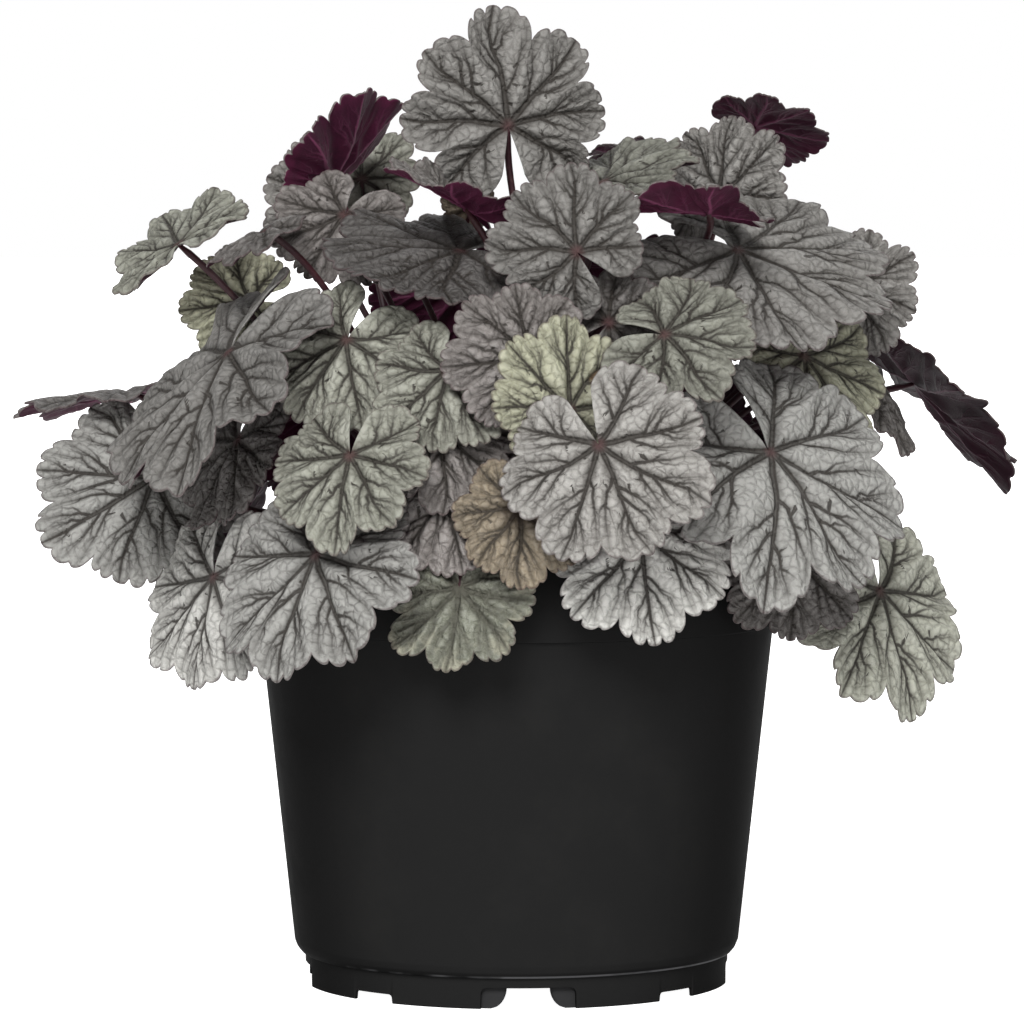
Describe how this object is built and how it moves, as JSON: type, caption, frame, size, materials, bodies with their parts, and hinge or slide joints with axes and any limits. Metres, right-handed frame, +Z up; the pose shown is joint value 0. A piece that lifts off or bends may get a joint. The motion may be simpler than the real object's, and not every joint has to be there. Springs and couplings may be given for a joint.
{
  "type": "heuchera plant",
  "caption": "Leafy garden perennial with scalloped, dark-veined silver leaves on thin stalks, mounded over a round black nursery pot.",
  "frame": {"origin": "on the ground, below the middle of the whole plant's box", "axes": "+Z up; -Y towards the fullest side, where the yellow-green leaf and the large veined leaf show; +X to the right seen from there"},
  "size_m": [0.3706, 0.2625, 0.3545],
  "materials": {
    "black_plastic": "satin moulded polypropylene, charcoal black",
    "peat": "loose damp peat compost",
    "crown_bark": "rough brown-red stock with bud scales",
    "leaf_silver": "silver-grey upper face with dark veins, purple underside, satin",
    "leaf_light": "pale silver upper face with dark veins, purple underside, satin",
    "leaf_dark": "dark grey upper face with dark veins, purple underside, satin",
    "leaf_green": "green-silver upper face with dark veins, purple underside, satin",
    "leaf_yellow": "yellow-green upper face with dark veins, purple underside, satin",
    "leaf_pink": "grey-pink upper face with dark veins, purple underside, satin",
    "leaf_tan": "tan upper face with dark veins, purple underside, satin",
    "leaf_moss": "dark green upper face with pale patches at the margin, satin"
  },
  "bodies": {
    "root": {"pot": "black_plastic", "soil": "peat", "crown": "crown_bark", "leaf_top": "leaf_silver", "leaf_top_right": "leaf_green", "leaf_upper_centre": "leaf_silver", "leaf_upper_left": "leaf_dark", "leaf_upper_fold": "leaf_dark", "leaf_upper_tan": "leaf_tan", "leaf_purple_left": "leaf_dark", "leaf_behind_purple_left": "leaf_silver", "leaf_small_grey_left": "leaf_green", "leaf_grey_pink_left": "leaf_pink", "leaf_left_outlier": "leaf_green", "leaf_left_edge_on": "leaf_dark", "leaf_left_yellow": "leaf_yellow", "leaf_left_drooping": "leaf_silver", "leaf_left_strip": "leaf_dark", "leaf_far_left": "leaf_light", "leaf_left_striped": "leaf_dark", "leaf_low_left": "leaf_light", "leaf_front_left": "leaf_light", "leaf_mid_left": "leaf_green", "leaf_left_round": "leaf_green", "leaf_centre_left": "leaf_green", "leaf_centre_hidden": "leaf_pink", "leaf_centre_yellow": "leaf_yellow", "leaf_centre_front": "leaf_silver", "leaf_centre_right": "leaf_green", "leaf_small_dark": "leaf_dark", "leaf_right_top": "leaf_silver", "leaf_right_behind": "leaf_silver", "leaf_right_tinted": "leaf_yellow", "leaf_right_narrow": "leaf_dark", "leaf_purple_right": "leaf_dark", "leaf_right_large": "leaf_light", "leaf_front_low": "leaf_light", "leaf_tan": "leaf_tan", "leaf_centre_pink": "leaf_pink", "leaf_dark_green": "leaf_moss", "leaf_centre_behind": "leaf_pink", "leaf_right_low": "leaf_green", "leaf_right_shaded": "leaf_dark", "leaf_right_upper_grey": "leaf_silver", "leaf_purple_top_right": "leaf_dark", "leaf_purple_shaded": "leaf_dark", "leaf_purple_band": "leaf_dark", "leaf_right_side_low": "leaf_light", "leaf_back_right_low": "leaf_silver", "leaf_back_low": "leaf_light", "leaf_back_left_low": "leaf_silver", "leaf_left_side_low": "leaf_light", "leaf_right_side": "leaf_silver", "leaf_back_right": "leaf_green", "leaf_back": "leaf_silver", "leaf_back_left": "leaf_pink", "leaf_back_right_high": "leaf_silver", "leaf_back_left_high": "leaf_green"}
  },
  "joints": []
}
